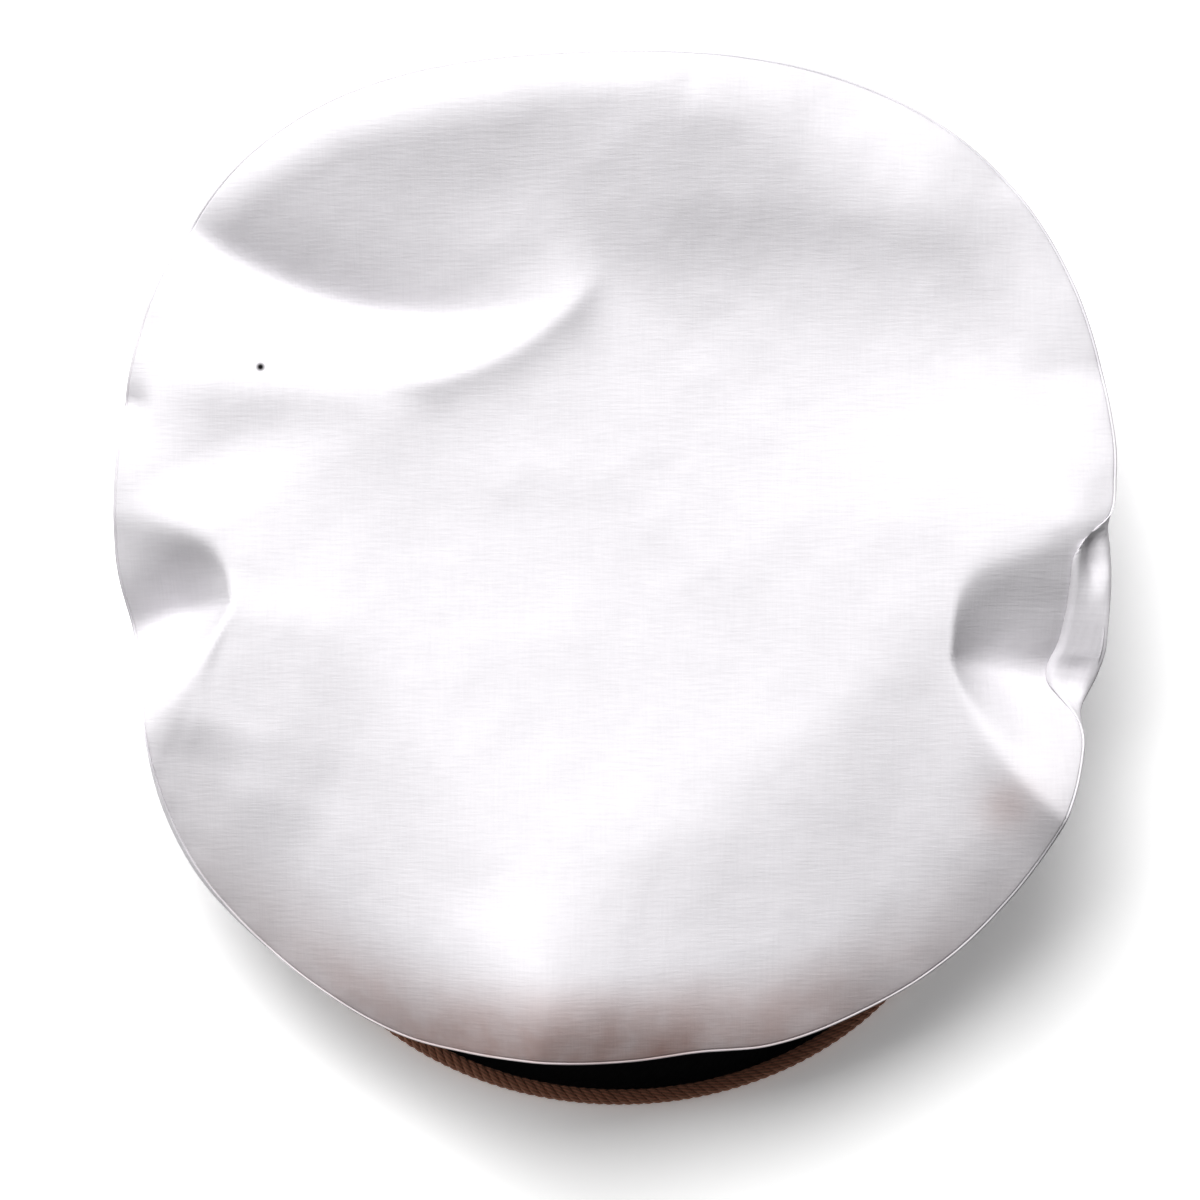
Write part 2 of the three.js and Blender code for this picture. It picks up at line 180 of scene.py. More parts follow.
# Folds of the top from one point to another, bowed sideways by bend. left and right are the widths
# of the two slopes seen along the line, soft rounds the crest, rise and fall fade the two ends.
Fold = namedtuple("Fold", "x0 y0 x1 y1 bend height left right soft rise fall")
TOP_FOLDS = metres(Fold, [
    (-120, 95, -4, 72, -16, -11, 11, 10, 3, 0, 60),  # crease at the back left
    (-66, 47, -1, 80, -9, 4.2, 16, 6, 2.5, 20, 16),  # ridge that ends the crease
    (-128, 50, -32, 51, -4, 5.5, 14, 12, 7, 22, 40),
    (-48, 70, 22, 126, 0, 1, 10, 10, 6, 20, 20),
    (-128, 20, -12, -184, 36, 7.5, 27, 40, 8, 22, 40),  # from the left rim to the front
    (140, 9, -56, -131, -5, 10.5, 66, 31, 15, 20, 60),  # from the right rim to the front
    (-126, -42, -74, -66, 0, 3, 25, 14, 9, 10, 25),
    (86, -20, 143, -79, -10, 19.5, 200, 14, 1.5, 60, 18),  # ridge in front of the right pocket
    (100, -86, 150, -90, 0, 5, 18, 24, 8, 22, 10),
    (-99, 0, -112, -52, 0, 3, 22, 6, 2, 14, 14),
    (-20, 97, 108, 88, 4, 5, 40, 17, 10, 40, 30),
    (-21, -80, -21, -160, 0, 8, 20, 20, 14, 44, 8),
])

# Small creases and puckers that are too fine for the solid.
SMALL_CREASES = metres(Fold, [
    (-19, 33, -35, 15, 0, 0.35, 6, 6, 2, 8, 8),
    (-48, -9, 7, -9, -10, 0.4, 7, 7, 3, 14, 14),
    (-133, 42, -120, 43, 0, -6, 4, 4, 1.5, 0, 8),
    (126, 52, 104, 49, 0, -1, 5, 5, 2, 0, 14),
    (20, 132, 19, 114, 0, -1.5, 5, 5, 2, 0, 12),
])

# Unevenness of the cloth, on cells of three sizes, and puckers that fade inwards from the rim seam.
Unevenness = namedtuple("Unevenness", "height cell seed")
CLOTH_UNEVENNESS = metres(Unevenness, [(0.5, 30, 1), (0.22, 12, 2), (0.07, 5, 7)], unscaled=("seed",))
Pucker = namedtuple("Pucker", "height reach count seed")
SEAM_PUCKERS = metres(Pucker, [(0.9, 18, 41, 3), (0.3, 8, 120, 4)], unscaled=("count", "seed"))
LATTICE = 64


def smooth_step(share):
    share = np.clip(share, 0, 1)
    return share * share * (3 - 2 * share)


def smooth_through(rows, column, name, at):
    """A smooth cubic through one column of a table whose rows are sorted by another column."""
    places = np.array([getattr(row, column) for row in rows])
    values = np.array([getattr(row, name) for row in rows])
    before = np.maximum(np.arange(len(rows)) - 1, 0)
    after = np.minimum(np.arange(len(rows)) + 1, len(rows) - 1)
    slopes = (values[after] - values[before]) / (places[after] - places[before])
    at = np.clip(at, places[0], places[-1])
    i = np.clip(np.searchsorted(places, at, side="right") - 1, 0, len(rows) - 2)
    span = places[i + 1] - places[i]
    t = (at - places[i]) / span
    ends = values[i] * (2 * t**3 - 3 * t**2 + 1) + values[i + 1] * (3 * t**2 - 2 * t**3)
    return ends + span * (slopes[i] * (t**3 - 2 * t**2 + t) + slopes[i + 1] * (t**3 - t**2))


def around_rim(rows, column, angle):
    """A column of a table that goes once round the rim by degrees."""
    first = rows[0].degrees
    degrees = np.mod(np.degrees(angle) - first, 360) + first
    return smooth_through(rows, "degrees", column, degrees)


def rim_distance(size, angle):
    corner = (1 - np.cos(4 * angle)) / 2
    round_rim = size.rim_radius + size.rim_squareness * (2 * corner - 1)
    return round_rim + size.back_corner_swell * np.sin(angle) * corner - around_rim(RIM_SEAM, "pull", angle)


def inside_rim(size, x, y):
    """The angle of a point round the axis, and how far within the rim it lies."""
    angle = np.arctan2(y, x)
    return angle, rim_distance(size, angle) - np.hypot(x, y)


def fold_height(fold, x, y):
    run_x, run_y = fold.x1 - fold.x0, fold.y1 - fold.y0
    reach = math.hypot(run_x, run_y)
    along = ((x - fold.x0) * run_x + (y - fold.y0) * run_y) / reach
    across = ((y - fold.y0) * run_x - (x - fold.x0) * run_y) / reach
    share = np.clip(along / reach, 0, 1)
    off = across - fold.bend * 4 * share * (1 - share)
    width = np.where(off > 0, fold.left, fold.right)
    profile = np.exp(-(np.hypot(off, fold.soft) - fold.soft) / width)
    start = smooth_step(along / fold.rise) if fold.rise else 1
    return fold.height * profile * start * smooth_step((reach - along) / fold.fall)


def pocket_height(pocket, x, y):
    """How far a pocket sinks the top, as a height below 0."""
    out = (x - pocket.inner) / (pocket.mouth - pocket.inner)
    grown = np.clip(out, POCKET_START, None)
    off = y - pocket.valley_in - (pocket.valley_out - pocket.valley_in) * out
    wall, facet = pocket.wall * grown**pocket.powers.wall, pocket.facet * grown**pocket.powers.facet
    share = smooth_through(pocket.across, "place", "share", off / np.where(off > 0, wall, facet))
    rounded = grown * (grown + POCKET_TIP) ** (pocket.powers.depth - 1)
    return -pocket.depth * rounded * (1 - pocket.shallower * grown) * share


def top_height(size, x, y):
    """Height of the crown's upper face over a point, without its finest forms."""
    left, middle, right = (
        smooth_through(TOP_SECTIONS, "y", column, y) for column in ("left", "middle", "right")
    )
    share = x / SECTION_REACH
    height = middle + (right - left) / 2 * share + ((left + right) / 2 - middle) * share**2
    angle, inside = inside_rim(size, x, y)
    roll = np.clip(1 - inside / around_rim(RIM_ROLLS, "width", angle), 0, 1)
    height -= around_rim(RIM_ROLLS, "depth", angle) * roll**ROLL_POWER
    height += sum(pocket_height(pocket, x, y) for pocket in POCKETS)
    return height + sum(fold_height(fold, x, y) for fold in TOP_FOLDS)


def uneven(x, y, cell, seed):
    """Smooth random heights from -1 to 1 on cells of that size, the same at each run."""
    lattice = np.random.default_rng(seed).uniform(-1, 1, (LATTICE, LATTICE))
    lattice = np.pad(lattice, (0, 1), "wrap")
    u, v = x / cell, y / cell
    s, t = smooth_step(u - np.floor(u)), smooth_step(v - np.floor(v))
    i, j = np.floor(u).astype(int) % LATTICE, np.floor(v).astype(int) % LATTICE
    near = lattice[i, j] * (1 - s) + lattice[i + 1, j] * s
    far = lattice[i, j + 1] * (1 - s) + lattice[i + 1, j + 1] * s
    return near * (1 - t) + far * t


def ripple(angle, count, seed):
    """Smooth random values from -1 to 1 round the hat, with that many cells in a turn."""
    values = np.random.default_rng(seed).uniform(-1, 1, count)
    cell = np.mod(angle / (2 * np.pi), 1) * count
    i = np.floor(cell).astype(int) % count
    return values[i] + (np.roll(values, -1)[i] - values[i]) * smooth_step(cell - np.floor(cell))


def top_surface(size, x, y):
    """The crown's upper face with its small creases, the unevenness of cloth and puckers at the seam."""
    height = top_height(size, x, y) + sum(fold_height(crease, x, y) for crease in SMALL_CREASES)
    for waves in CLOTH_UNEVENNESS:
        height += waves.height * uneven(x, y, waves.cell, waves.seed)
    angle, inside = inside_rim(size, x, y)
    for pucker in SEAM_PUCKERS:
        fade = smooth_step(1 - inside / pucker.reach)
        height += pucker.height * ripple(angle, pucker.count, pucker.seed) * fade
    return height


def linear(hex_colour):
    """A colour written as sRGB hex, as the linear RGB that shaders take."""
    channels = [int(hex_colour[i:i + 2], 16) / 255 for i in (1, 3, 5)]
    return [c / 12.92 if c <= 0.04045 else ((c + 0.055) / 1.055) ** 2.4 for c in channels]


def length(name, description, millimetres):
    return FloatProperty(
        name=name, description=description, default=millimetres * MM, unit="LENGTH", precision=5
    )


def turn(name, description, degrees):
    return FloatProperty(name=name, description=description, default=math.radians(degrees), subtype="ANGLE")


def colour(name, description, hex_colour):
    return FloatVectorProperty(
        name=name, description=description, default=linear(hex_colour), subtype="COLOR", min=0, max=1
    )


class HatSizes(bpy.types.PropertyGroup):
    """Sizes of the sewn pieces, as on the solids but for a thinner cloth wall and a slimmer cord."""

    rim_radius: length("Rim radius", "Mean distance of the rim seam from the crown's axis", 136.5)
    rim_squareness: length("Rim squareness", "How far the rim is pushed out towards its four corners", 4.6)
    back_corner_swell: length("Back corner swell", "How much further the back corners stand out", 2.6)
    cloth_wall: length("Cloth wall", "Thickness of the crown's sewn panels", 1.0)
    seam_lip: length("Seam lip", "Radius of the rounded edge of the top at the rim seam", 0.5)
    band_offset: length("Band offset", "How far right of the crown's axis the band sits", 1.7)
    band_half_width: length("Band half width", "Half the width of the band's oval outside", 87)
    band_half_length: length("Band half length", "Half the length of the band's oval outside", 98.5)
    band_wall: length("Band wall", "Thickness of the head band", 1.8)
    band_back: length("Band height behind", "Height of the band at the back", 34)
    band_front: length("Band height in front", "Height of the band over the peak", 29)
    band_lift: length("Band lift", "How far the peak props up the front of the band", 18)
    band_lift_start: length("Band lift start", "Where in front of the axis the lower edge starts to rise", 5)
    peak_reach: length("Peak reach", "From the crown's axis to the front of the cord", 148)
    peak_half_width: length("Peak half width", "Half width of the oval round the peak", 95)
    peak_half_length: length("Peak half length", "Half length of the oval round the peak", 78.5)
    peak_wall: length("Peak wall", "Thickness of the peak", 2.4)
    peak_camber: length("Peak camber", "How far the peak arches above a straight slope", 2.2)
    peak_turn: turn("Peak turn", "Angle of the outer oval on each side of its front", 112)
    band_turn: turn("Band turn", "Angle of the band that the peak is sewn to on each side", 66)
    cord_diameter: length("Cord diameter", "Over all the strands", 4.6)
    cord_turn: turn("Cord turn", "Angle of the oval that the cord follows on each side", 115.5)
    cord_lay: length("Cord lay", "Length of one full twist of the strands", 10.8)
    cord_strands: IntProperty(
        name="Cord strands", description="Strands twisted into the cord", default=4, min=2
    )
    stitch: length("Stitch", "Length of a stitch with its gap", 3.4)
    thread: length("Thread", "Thickness of the sewing thread", 0.55)


class HatColours(bpy.types.PropertyGroup):
    """Colours of the cloths and the cord."""

    cotton: colour("Cotton", "Washed white cotton", "#dfdde0")
    # A darker, warmer grey, painted round the front rim fading inwards and in the small brown stain by the
    # right pocket.
    soil: colour("Soil", "Handled, warm grey cotton at the front rim", "#b79a93")
    speck: colour("Speck", "A small dark spot on the crown", "#1c1a1b")
    band: colour("Band", "Black cloth of the head band", "#111114")
    peak: colour("Peak", "Black cloth of the peak", "#08080a")
    thread: colour("Thread", "Black sewing thread", "#1b1b1f")
    cord: colour("Cord", "Brown yarn of the cord", "#c8947a")
    # Painted shade: the cord's yarn is painted this dark where the strands turn in between one another.
    cord_groove_shade: colour("Cord, deep", "Yarn between the strands", "#4a2a1e")
    floor: colour("Floor", "Pale studio floor", "#f9f9f9")


# The crown's axis in the frame: the middle of the band, less the band's offset.
band_low, band_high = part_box("head_band")


def place(size, points):
    """Points round the crown's axis, moved to where the solids have it."""
    middle = (band_low + band_high) / 2
    return points + np.array([middle.x - size.band_offset, middle.y, 0])


def crown_axis(size):
    return place(size, np.zeros(3))


def turn_angles(count):
    return np.linspace(0, 2 * np.pi, count, endpoint=False)


def unit(vectors):
    return vectors / np.linalg.norm(vectors, axis=1, keepdims=True)


def distances(path):
    """How far along a path each of its points lies."""
    return np.concatenate([[0], np.cumsum(np.linalg.norm(np.diff(path, axis=0), axis=1))])


def points_at(at, far, path):
    """Points between those of a path, at distances along it."""
    return np.stack([np.interp(at, far, path[:, axis]) for axis in range(path.shape[1])], axis=1)


def joined_ends(grid):
    """A grid with its first row and column once more at the end, for faces that close on themselves."""
    return np.pad(grid, ((0, 1), (0, 1), (0, 0)), "wrap")


def unrolled(loops):
    """Places on the flat cloth: the length along the row of loops and the length round each loop."""
    closed = joined_ends(loops)
    steps = [np.linalg.norm(np.diff(closed, axis=axis), axis=2).mean(1 - axis) for axis in (0, 1)]
    u, v = (np.concatenate([[0], np.cumsum(step)]) for step in steps)
    return np.stack(np.meshgrid(u, v, indexing="ij"), axis=2)


def mesh_object(name, points, faces, spots=None):
    """Links a smooth mesh object. spots holds the place of each corner of a face on the flat cloth."""
    mesh = bpy.data.meshes.new(name)
    mesh.from_pydata(points, [], faces)
    if spots is not None:
        mesh.uv_layers.new(name="cloth").data.foreach_set("uv", np.asarray(spots, np.float32).ravel())
    mesh.shade_smooth()
    piece = bpy.data.objects.new(name, mesh)
    bpy.context.scene.collection.objects.link(piece)
    return piece


def turned_in(points, quads):
    """Whether the quads of a closed mesh face inwards: then the volume within them comes out below 0."""
    a, b, c, d = (points[quads[:, corner]] for corner in range(4))
    return np.sum(a * (np.cross(b, c) + np.cross(c, d))) < 0


def lofted(name, loops, wraps, cloth):
    """A closed mesh object through closed loops, an array of loops by points by three.

    The row of loops closes on itself where it wraps, and otherwise both ends are capped.
    cloth holds each point's place on the flat cloth, with one more row and column than the loops.
    """
    rows, columns = loops.shape[:2]
    i, j = np.meshgrid(np.arange(rows if wraps else rows - 1), np.arange(columns), indexing="ij")
    corners = [(i, j), (i, j + 1), (i + 1, j + 1), (i + 1, j)]
    faces = np.stack([r % rows * columns + c % columns for r, c in corners], axis=2).reshape(-1, 4)
    spots = np.stack([cloth[r, c] for r, c in corners], axis=2).reshape(-1, 4, 2)
    points = loops.reshape(-1, 3)
    if not wraps:
        # An end is a fan of triangles, written as quads that have the middle twice.
        j = np.arange(columns)
        for row, edge in ((0, (j + 1, j)), (rows - 1, (j, j + 1))):
            middle = np.full(columns, len(points))
            fan = np.stack([middle, middle, *(row * columns + c % columns for c in edge)], axis=1)
            hub = np.broadcast_to(cloth[row, :-1].mean(0), (columns, 2))
            points = np.vstack([points, loops[row].mean(0)])
            faces = np.vstack([faces, fan])
            spots = np.vstack([spots, np.stack([hub, hub, *(cloth[row, c] for c in edge)], axis=1)])
    if turned_in(points, faces):
        faces, spots = faces[:, ::-1], spots[:, ::-1]
    kept = faces != np.roll(faces, 1, axis=1)
    outlines = [face[keep].tolist() for face, keep in zip(faces, kept)]
    return mesh_object(name, points, outlines, spots[kept])


def rings_round(line, way, out, radius, sides):
    """Rings of points round a line, square to its way, that start on the side of out."""
    around = turn_angles(sides)[:, None]
    spokes = out[:, None] * np.cos(around) + np.cross(way, out)[:, None] * np.sin(around)
    return line[:, None] + radius[:, None, None] * spokes


def tubes(name, bars, reach, girth):
    """One mesh object of tubes with flat ends, each an array of rings by points by three.

    reach holds how far along a tube its rings lie, and girth is the way round it, on the flat cloth.
    """
    rings, sides = bars[0].shape[:2]
    faces, spots = [], []
    for first in range(0, len(bars) * rings * sides, rings * sides):
        for i in range(rings - 1):
            for j in range(sides):
                corners = ((i, j), (i, j + 1), (i + 1, j + 1), (i + 1, j))
                faces.append([first + ring * sides + side % sides for ring, side in corners])
                spots.extend((reach[ring], side / sides * girth) for ring, side in corners)
        for ring, order in ((0, range(sides)[::-1]), (rings - 1, range(sides))):
            faces.append([first + ring * sides + side for side in order])
            spots.extend([(reach[ring], 0)] * sides)
    return mesh_object(name, np.concatenate(bars).reshape(-1, 3), faces, spots)


def dressed(piece, material, slot, *nodes):
    """Gives a piece its material, puts it on the body that it rides on, and hides the solids that it stands
    for.
    """
    piece.data.materials.append(material)
    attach(piece, BODY)
    if nodes:
        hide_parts(*nodes)


def paint(piece, name, values):
    """Stores a number for each point of a piece, for its material to read."""
    piece.data.attributes.new(name, "FLOAT", "POINT").data.foreach_set("value", values.astype(np.float32))


def points_of(piece):
    flat = np.zeros(len(piece.data.vertices) * 3, np.float32)
    piece.data.vertices.foreach_get("co", flat)
    return flat.reshape(-1, 3)


def new_material(name):
    """An empty node material, and the tree to fill."""
    material = bpy.data.materials.new(name)
    material.use_nodes = True
    material.node_tree.nodes.clear()
    return material, material.node_tree


def add_node(tree, kind, settings=None, inputs=None):
    """Adds a node, sets its properties, and links or sets its inputs."""
    node = tree.nodes.new(kind)
    for name, value in (settings or {}).items():
        setattr(node, name, value)
    for socket, value in (inputs or {}).items():
        if isinstance(value, bpy.types.NodeSocket):
            tree.links.new(value, node.inputs[socket])
        else:
            node.inputs[socket].default_value = value
    return node


def finished(tree, inputs):
    """Adds the shader with these inputs, and the material's output."""
    shader = add_node(tree, "ShaderNodeBsdfPrincipled", inputs=inputs)
    add_node(tree, "ShaderNodeOutputMaterial", inputs={"Surface": shader.outputs["BSDF"]})


def opaque(rgb, shade=1):
    """A colour for a socket, made lighter or darker by a factor."""
    return [*(shade * channel for channel in rgb), 1]


def cloth_spot(tree):
    """Each point's place on the flat cloth, in metres."""
    return add_node(tree, "ShaderNodeUVMap", {"uv_map": "cloth"}).outputs["UV"]


def painted(tree, name):
    """The number that paint has stored at each point."""
    return add_node(tree, "ShaderNodeAttribute", {"attribute_name": name}).outputs["Fac"]


def cloudy(tree, spot, cell, detail, roughness):
    """Noise on cells of one size."""
    inputs = {"Vector": spot, "Scale": 1 / cell, "Detail": detail, "Roughness": roughness}
    return add_node(tree, "ShaderNodeTexNoise", inputs=inputs).outputs["Fac"]


def threads(tree, spot, cell_u, cell_v, detail, roughness):
    """Noise on the flat cloth, drawn out one way into threads."""
    scale = (1 / cell_u, 1 / cell_v, 1)
    drawn = add_node(tree, "ShaderNodeMapping", inputs={"Vector": spot, "Scale": scale}).outputs["Vector"]
    inputs = {"Vector": drawn, "Scale": 1.0, "Detail": detail, "Roughness": roughness}
    return add_node(tree, "ShaderNodeTexNoise", {"noise_dimensions": "2D"}, inputs).outputs["Fac"]


# Half a wave of the diagonal wave texture at scale 1, measured along an edge of the cloth.
HALF_WAVE = 0.314


def diagonal_ribs(tree, spot, width, distortion, detail, detail_scale):
    """Slanting ribs, that wide along an edge of the cloth."""
    settings = {"wave_type": "BANDS", "bands_direction": "DIAGONAL"}
    inputs = {
        "Vector": spot, "Scale": HALF_WAVE / width,
        "Distortion": distortion, "Detail": detail, "Detail Scale": detail_scale,
    }
    return add_node(tree, "ShaderNodeTexWave", settings, inputs).outputs["Fac"]


def ranged(tree, value, given, wanted):
    """A value brought from one range to another."""
    ends = ("From Min", "From Max", "To Min", "To Max")
    inputs = {"Value": value, **dict(zip(ends, (*given, *wanted)))}
    return add_node(tree, "ShaderNodeMapRange", inputs=inputs).outputs["Result"]


def product(tree, first, second):
    settings = {"operation": "MULTIPLY"}
    return add_node(tree, "ShaderNodeMath", settings, {0: first, 1: second}).outputs["Value"]


def between(tree, share, first, second):
    settings = {"data_type": "FLOAT"}
    return add_node(tree, "ShaderNodeMix", settings, {0: share, 2: first, 3: second}).outputs[0]


def blended(tree, share, first, second, blend="MIX"):
    """A colour that is blended from two others by a share."""
    settings = {"data_type": "RGBA", "blend_type": blend}
    return add_node(tree, "ShaderNodeMix", settings, {0: share, 6: first, 7: second}).outputs[2]


def relief(tree, height, strength, depth):
    """Normals of a fine relief of that depth."""
    inputs = {"Height": height, "Strength": strength, "Distance": depth}
    return add_node(tree, "ShaderNodeBump", inputs=inputs).outputs["Normal"]


# The speck's place from the crown's axis, where it is dark all through, and where it ends.
SPECK = (-92.7 * MM, 52.1 * MM, 0)
SPECK_CORE = 0.4 * MM
SPECK_REACH = 1.3 * MM


def white_cotton(colours):
    """White cotton drill, woven and washed: matt, with uneven weft threads and a soft sheen of fibres."""
    material, tree = new_material("white_cotton_drill_washed")
    spot = cloth_spot(tree)
    # Threads of cotton drill are about 0.4 mm apart. They are drawn 0.8 mm apart so that they show.
    thread = 0.8 * MM
    weft = threads(tree, spot, 9 * thread, thread, detail=2.0, roughness=0.6)
    warp = threads(tree, spot, thread, 12 * thread, detail=1.0, roughness=0.5)
    weave = between(tree, 0.35, weft, warp)
    # The cotton is painted darker and warmer round the front rim, and in a small stain by the right pocket.
    # The darkening fades inwards and is cloudy.
    here = add_node(tree, "ShaderNodeTexCoord").outputs["Object"]
    clouds = cloudy(tree, here, 16 * MM, detail=3.0, roughness=0.6)
    darkening_share = product(tree, painted(tree, "soil"), ranged(tree, clouds, (0.3, 0.7), (0.6, 1.1)))
    darkened = blended(tree, darkening_share, opaque(colours.cotton), opaque(colours.soil))
    # One dark speck of dirt lies on the left of the top. The upper face's map is in metres from the axis.
    away = add_node(tree, "ShaderNodeVectorMath", {"operation": "DISTANCE"}, {0: spot, 1: SPECK})
    near = ranged(tree, away.outputs["Value"], (SPECK_CORE, SPECK_REACH), (1.0, 0.0))
    speck = product(tree, near, painted(tree, "upper_face"))
    spotted = blended(tree, speck, darkened, opaque(colours.speck))
    # Painted shade: the hollows between the threads are painted a little darker.
    shade = ranged(tree, weave, (0.3, 0.7), (0.955, 1.0))
    finished(tree, {
        "Base Color": blended(tree, 1.0, spotted, shade, "MULTIPLY"),
        "Roughness": 0.88, "IOR": 1.5, "Specular IOR Level": 0.25,
        "Sheen Weight": 0.2, "Sheen Roughness": 0.4,
        "Normal": relief(tree, weave, strength=0.28, depth=0.35 * MM),
    })
    return material


def black_cloth(name, cloth_colour, rib, roughness, sheen):
    """Black woven cloth: near black, with fine ribs that only a grazing light shows."""
    material, tree = new_material(name)
    spot = cloth_spot(tree)
    fibres = cloudy(tree, spot, 0.7 * MM, detail=3.0, roughness=0.5)
    ribs = diagonal_ribs(tree, spot, rib, distortion=0.6, detail=1.0, detail_scale=2.0)
    weave = between(tree, 0.4, ribs, fibres)
    finished(tree, {
        "Base Color": blended(tree, fibres, opaque(cloth_colour, 0.6), opaque(cloth_colour, 1.4)),
        "Roughness": roughness, "IOR": 1.5, "Specular IOR Level": 0.3,
        "Sheen Weight": sheen, "Sheen Roughness": 0.4,
        "Normal": relief(tree, weave, strength=0.5, depth=0.25 * MM),
    })
    return material


def brown_yarn(colours):
    """Brown viscose yarn, twisted: each strand shows its fine plies, painted lighter on its outside and
    darker with painted shade between the strands.
    """
    material, tree = new_material("brown_viscose_yarn_twisted")
    spot = cloth_spot(tree)
    # The plies show as slanting ribs about 0.4 mm wide along a strand, with finer fibres on them.
    plies = diagonal_ribs(tree, spot, 0.42 * MM, distortion=1.2, detail=2.0, detail_scale=1.5)
    fibres = threads(tree, spot, 2.5 * MM, 0.25 * MM, detail=2.0, roughness=0.5)
    height = between(tree, 0.5, plies, fibres)
    # Painted shade: the yarn is painted dark where the strands turn in between one another.
    groove_shaded_tone = blended(tree, painted(tree, "groove"), opaque(colours.cord), opaque(colours.cord_groove_shade))
    # Painted shade and highlight: the plies are painted darker in their hollows and lighter on their crests.
    shade = ranged(tree, height, (0.25, 0.75), (0.7, 1.15))
    finished(tree, {
        "Base Color": blended(tree, 1.0, groove_shaded_tone, shade, "MULTIPLY"),
        "Roughness": 0.6, "IOR": 1.5, "Specular IOR Level": 0.35,
        "Sheen Weight": 0.1,
        "Normal": relief(tree, height, strength=0.6, depth=0.25 * MM),
    })
    return material


# The floor reaches this far from the middle. Its grain is about 13 mm wide: so many cells lie across it.
FLOOR_REACH = 6.0
FLOOR_GRAINS = 900.0
WHITE = (1, 1, 1, 1)


def floor_paper(colours):
    """Pale studio paper, matt and nearly even. A little light of its own keeps the shadows on it pale."""
    material, tree = new_material("studio_paper_matt")
    grain = add_node(tree, "ShaderNodeTexNoise", inputs={"Scale": FLOOR_GRAINS, "Detail": 2.0})
    bump = add_node(tree, "ShaderNodeBump", inputs={"Strength": 0.02, "Height": grain.outputs["Fac"]})
    finished(tree, {
        "Base Color": opaque(colours.floor), "Roughness": 0.95, "Specular IOR Level": 0.1,
        "Emission Color": WHITE, "Emission Strength": 0.25,
        "Normal": bump.outputs["Normal"],
    })
    return material


# The cotton is painted darker and warmer round the front, from a share of the way to the rim outwards, and
# the lip at the rim is left lighter again.
DARKENING_DEGREES = 268
DARKENING_SPREAD = 34
DARKENING_START = 0.8
DARKENING_SHARE = 0.9
LIP_START = 0.998
LIP_WIDTH = 0.004
LIP_LIGHTER = 0.6

# A faint brown patch where the ridge beside the right pocket has rubbed.
Patch = namedtuple("Patch", "x y radius share")
SOIL_PATCH = Patch(102 * MM, -63 * MM, 7 * MM, 0.3)


def paint_cotton(size, piece, seen):
    """Marks where the cotton is painted darker and warmer, round the front rim and in the stain by the right
    pocket, and which of its points lie on the seen upper face of the top.
    """
    x, y, _ = (points_of(piece) - crown_axis(size)).T
    angle = np.arctan2(y, x)
    share = np.hypot(x, y) / rim_distance(size, angle)
    front = np.exp(-((np.mod(np.degrees(angle), 360) - DARKENING_DEGREES) / DARKENING_SPREAD) ** 2)
    outer = smooth_step((share - DARKENING_START) / (1 - DARKENING_START))
    lip = smooth_step((share - LIP_START) / LIP_WIDTH)
    rubbed = np.exp(-((x - SOIL_PATCH.x) ** 2 + (y - SOIL_PATCH.y) ** 2) / SOIL_PATCH.radius**2)
    # The front is painted darker and warmer, the lip less so, and the stain by the right pocket adds to it.
    soil = DARKENING_SHARE * front * outer * (1 - LIP_LIGHTER * lip) + SOIL_PATCH.share * rubbed
    paint(piece, "soil", soil)
    paint(piece, "upper_face", np.arange(len(x)) < seen)


class HAT_OT_crown_top(bpy.types.Operator):
    """The round top panel, dished and dented, with a rounded lip at its rim seam"""

    bl_idname = "sailor_hat.crown_top"
    bl_label = "Crown top"

    angles = 480
    rings = 110
    under_rings = 40
    lip_steps = 5
    # A power below 1 sets the rings closer together towards the rim.
    ring_power = 0.8
    # Under the lip a narrow hem turns in to the lower face.
    hem_in = 0.2 * MM
    hem_up = 0.1 * MM
    under_in = 1.2 * MM

    def execute(self, context):
        size, colours = context.scene.hat_sizes, context.scene.hat_colours
        angle = turn_angles(self.angles)
        rim = rim_distance(size, angle)
        lip = size.seam_lip
        flat_end = 1 - lip / size.rim_radius
        rings = []
        for share in flat_end * (np.arange(1, self.rings + 1) / self.rings) ** self.ring_power:
            rings.append((share * rim, 0))
        for bend in np.linspace(0, np.pi / 2, self.lip_steps + 1)[1:]:
            rings.append((rim - lip * (1 - math.sin(bend)), lip * (1 - math.cos(bend))))
        rings.append((rim - self.hem_in, size.cloth_wall - self.hem_up))
        for share in (1 - np.arange(self.under_rings) / self.under_rings) ** self.ring_power:
            rings.append((share * (rim - self.under_in), size.cloth_wall))
        loops = []
        for distance, drop in rings:
            x, y = distance * np.cos(angle), distance * np.sin(angle)
            loops.append(np.stack([x, y, top_surface(size, x, y) - drop], axis=1))
        loops = np.array(loops)
        piece = lofted("crown_top_cloth", place(size, loops), False, joined_ends(loops[:, :, :2]))
        paint_cotton(size, piece, self.rings * self.angles)
        dressed(piece, white_cotton(colours), "crown_cotton", "crown_top")
        return {"FINISHED"}


def band_point(size, angle, inset):
    x = size.band_offset + (size.band_half_width - inset) * np.cos(angle)
    return np.stack([x, (size.band_half_length - inset) * np.sin(angle)], axis=-1)


def front_share(size, angle):
    """How far round to the front an angle lies: 0 on the flat back part and 1 at the middle of the peak."""
    forward = -size.band_half_length * np.sin(angle) - size.band_lift_start
    return smooth_step(forward / (size.band_half_length - size.band_lift_start))


def band_bottom(size, angle):
    return size.band_lift * front_share(size, angle)


def band_top(size, angle):
    share = front_share(size, angle)
    return band_bottom(size, angle) + size.band_back + (size.band_front - size.band_back) * share


